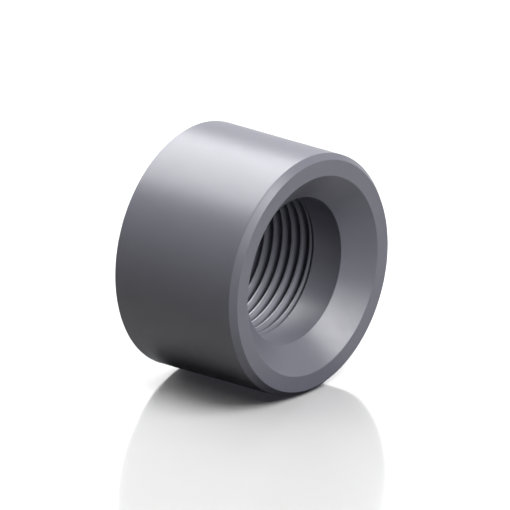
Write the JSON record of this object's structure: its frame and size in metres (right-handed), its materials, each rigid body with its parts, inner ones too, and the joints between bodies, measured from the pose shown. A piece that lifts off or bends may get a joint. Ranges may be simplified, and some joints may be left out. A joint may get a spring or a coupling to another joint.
{
  "type": "threaded reducing bush",
  "caption": "Cylindrical reducing bush: a plain outer spigot to cement into a pipe socket, a funnelled front bore and a female pipe thread at the back.",
  "frame": {"origin": "centre of the flat threaded end face, which the bush stands on", "axes": "+Z along the bush's axis, from the threaded end towards the funnelled front; the thread's groove starts at +X, at the back face"},
  "size_m": [0.05, 0.05, 0.031],
  "materials": {
    "body": "satin dark grey rigid plastic with a slight violet cast"
  },
  "bodies": {
    "root": {"bush": "body"}
  },
  "joints": []
}
